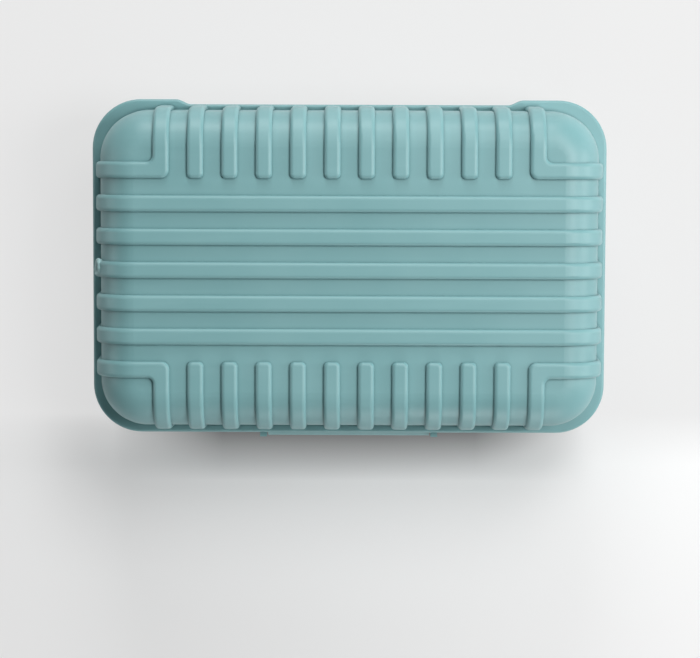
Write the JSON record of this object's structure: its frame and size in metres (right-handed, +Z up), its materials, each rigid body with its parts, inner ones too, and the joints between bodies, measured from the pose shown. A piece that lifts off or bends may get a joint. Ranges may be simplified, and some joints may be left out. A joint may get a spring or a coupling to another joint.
{
  "type": "travel soap box",
  "caption": "Hinged travel soap box in suitcase style: ribbed lid and base, flush rim with hinge notch, front flap latch, seal and lift-out drain tray.",
  "frame": {"origin": "middle of the bottom face of the middle rib, on the table, under the plan centre of the rim", "axes": "+X along the long side, +Y towards the hinge, +Z up out of the lid; the latch is on the -Y side"},
  "size_m": [0.116, 0.0765, 0.04],
  "materials": {
    "shell_plastic": "satin moulded polypropylene, teal",
    "tray_plastic": "satin moulded polypropylene, off-white",
    "seal_rubber": "soft silicone",
    "pin_steel": "drawn stainless wire"
  },
  "bodies": {
    "base": {"base_shell": "shell_plastic", "hinge_pin": "pin_steel"},
    "lid": {"lid_shell": "shell_plastic", "seal_ring": "seal_rubber", "latch_pin": "pin_steel"},
    "latch": {"latch": "shell_plastic"},
    "tray": {"drain_tray": "tray_plastic"}
  },
  "joints": [
    {"name": "lid_hinge", "type": "hinge", "parent": "base", "child": "lid", "pos_m": [0, 0.0352, 0.0174], "axis": [-1, 0, 0], "range_deg": [0, 105]},
    {"name": "latch_flip", "type": "hinge", "parent": "lid", "child": "latch", "pos_m": [0, -0.0374, 0.0184], "axis": [-1, 0, 0], "range_deg": [0, 100]},
    {"name": "tray_lift", "type": "slide", "parent": "base", "child": "tray", "axis": [0, 0, 1], "range_m": [0, 0.024]}
  ]
}
